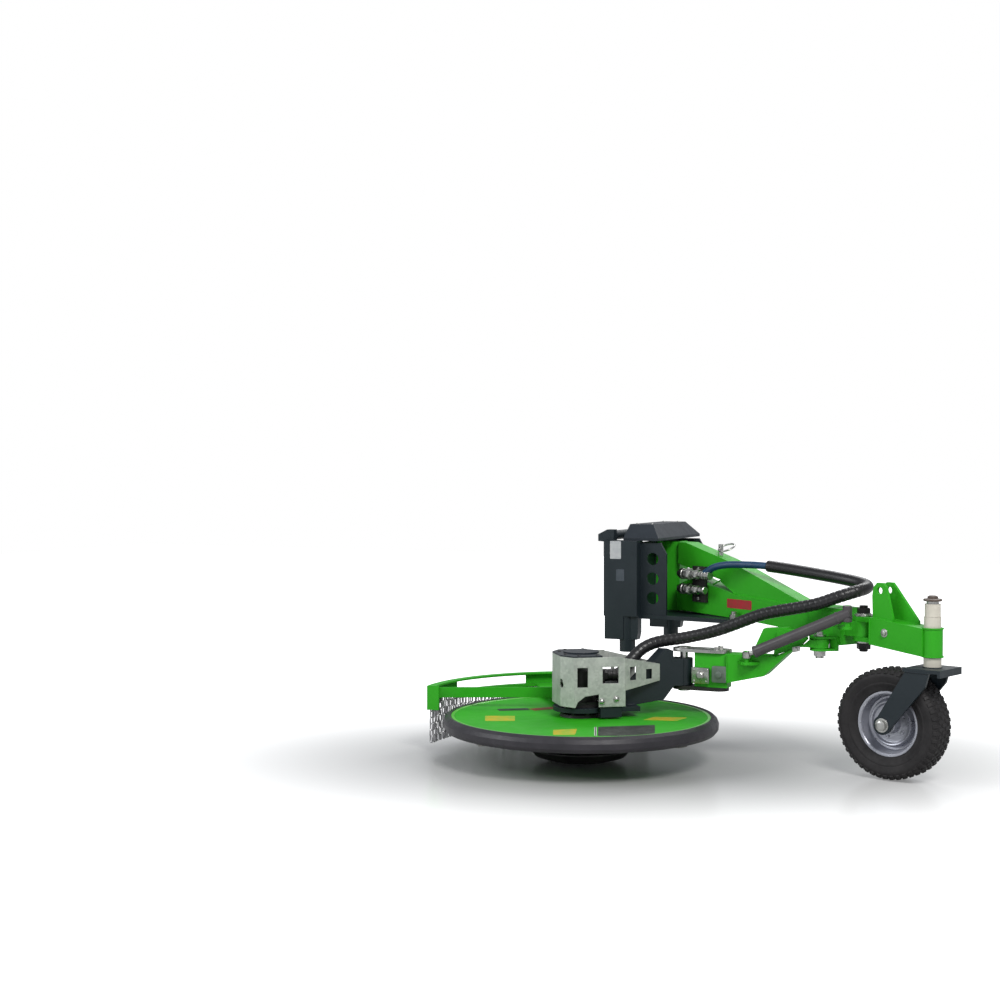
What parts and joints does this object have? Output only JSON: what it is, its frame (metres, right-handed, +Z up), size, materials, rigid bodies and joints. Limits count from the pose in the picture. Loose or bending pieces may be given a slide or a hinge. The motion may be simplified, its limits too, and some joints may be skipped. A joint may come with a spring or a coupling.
{
  "type": "fence mower",
  "caption": "Loader-carried fence mower: coupling frame and slanted green beam on a castor wheel, with a swing arm carrying a guarded round cutter deck.",
  "frame": {"origin": "middle of the coupling frame's rear face, where the loader's coupling frame rests", "axes": "+X forward, the direction of travel; +Y left; +Z up; the floor is at Z -0.46"},
  "size_m": [1.4115, 1.176, 0.625],
  "materials": {
    "green_paint": "gloss",
    "anthracite_paint": "satin",
    "galvanised": "dull",
    "bright_steel": "satin",
    "dark_steel": "dull",
    "strut_grey": "satin",
    "silver_paint": "satin",
    "edge_rubber": "matt",
    "tyre_rubber": "matt",
    "hose_rubber": "matt",
    "spacer_plastic": "matt",
    "dark_plastic": "matt",
    "chain_steel": "dull"
  },
  "bodies": {
    "frame": {"side_posts": "anthracite_paint", "lock_sleeves": "anthracite_paint", "hook_bar": "anthracite_paint", "web_plates": "anthracite_paint", "back_plate": "anthracite_paint", "tongue_plate": "anthracite_paint", "hood": "anthracite_paint", "frame_post": "green_paint", "lower_beam": "green_paint", "upper_brace": "green_paint", "beam_collar": "green_paint", "hinge_lug": "green_paint", "hinge_bolt": "bright_steel", "caster_arm": "green_paint", "stem_tube": "green_paint", "arm_ears": "green_paint", "linch_pin": "bright_steel", "pull_ring": "bright_steel", "tongue_bolt": "bright_steel", "coupler_plate": "dark_steel", "quick_couplers": "bright_steel", "pivot_bracket": "green_paint", "pivot_pin": "bright_steel", "strut_front_bracket": "green_paint", "loop_hose": "hose_rubber"},
    "swing_arm": {"swing_arm": "green_paint", "pivot_hub": "green_paint", "head_fork_top": "bright_steel", "head_fork_bottom": "dark_steel", "head_fork_block": "green_paint", "head_pin": "bright_steel", "strut_rear_bracket": "green_paint", "arm_hose": "hose_rubber"},
    "strut_tube": {"strut_tube": "strut_grey"},
    "strut_rod": {"strut_rod": "bright_steel"},
    "head": {"head_arm": "anthracite_paint", "motor_plate": "anthracite_paint", "spindle_housing": "dark_steel", "hydraulic_motor": "dark_steel", "motor_guard": "galvanised", "guard_cap": "dark_plastic", "guard_band": "green_paint", "band_bracket": "green_paint", "chain_curtain": "chain_steel", "head_hose": "hose_rubber"},
    "deck": {"deck_disc": "green_paint", "deck_hub": "dark_steel", "rubber_ring": "edge_rubber"},
    "cutter": {"cutter_shaft": "bright_steel", "cutter_disc": "dark_steel", "cutter_blades": "dark_steel", "gliding_disc": "dark_steel"},
    "caster": {"caster_stem": "bright_steel", "caster_fork": "anthracite_paint", "stem_spacers": "spacer_plastic", "stem_cap": "dark_plastic", "caster_axle": "bright_steel"},
    "wheel": {"tyre": "tyre_rubber", "rim": "silver_paint"}
  },
  "joints": [
    {"name": "arm_swing", "type": "hinge", "parent": "frame", "child": "swing_arm", "pos_m": [0.594, -0.408, 0], "axis": [0, 0, -1], "range_deg": [0, 15], "stiffness_Nm_per_rad": 60, "springref_deg": -17.19},
    {"name": "strut_yaw", "type": "hinge", "parent": "frame", "child": "strut_tube", "pos_m": [0.677, -0.457, -0.048], "axis": [0, 0, -1], "range_deg": [0, 10.3]},
    {"name": "strut_slide", "type": "slide", "parent": "strut_tube", "child": "strut_rod", "axis": [-0.9115, 0, -0.4112], "range_m": [0, 0.0123]},
    {"name": "head_swing", "type": "hinge", "parent": "swing_arm", "child": "head", "pos_m": [0.222, -0.408, 0], "axis": [0, 0, -1], "range_deg": [-15, 20]},
    {"name": "deck_spin", "type": "hinge", "parent": "head", "child": "deck", "pos_m": [-0.012, -0.584, 0], "axis": [0, 0, 1], "continuous": true},
    {"name": "cutter_spin", "type": "hinge", "parent": "head", "child": "cutter", "pos_m": [-0.012, -0.584, 0], "axis": [0, 0, 1], "continuous": true},
    {"name": "caster_swivel", "type": "hinge", "parent": "frame", "child": "caster", "pos_m": [0.898, -0.503, 0], "axis": [0, 0, 1], "continuous": true},
    {"name": "wheel_spin", "type": "hinge", "parent": "caster", "child": "wheel", "pos_m": [0.79696, -0.47095, -0.3175], "axis": [0.3024, 0.9532, 0], "continuous": true}
  ],
  "couplings": [
    {"joint": "strut_yaw", "follows": "arm_swing", "ratio": 0.681},
    {"joint": "strut_slide", "follows": "arm_swing", "m_per_rad": 0.0468}
  ]
}
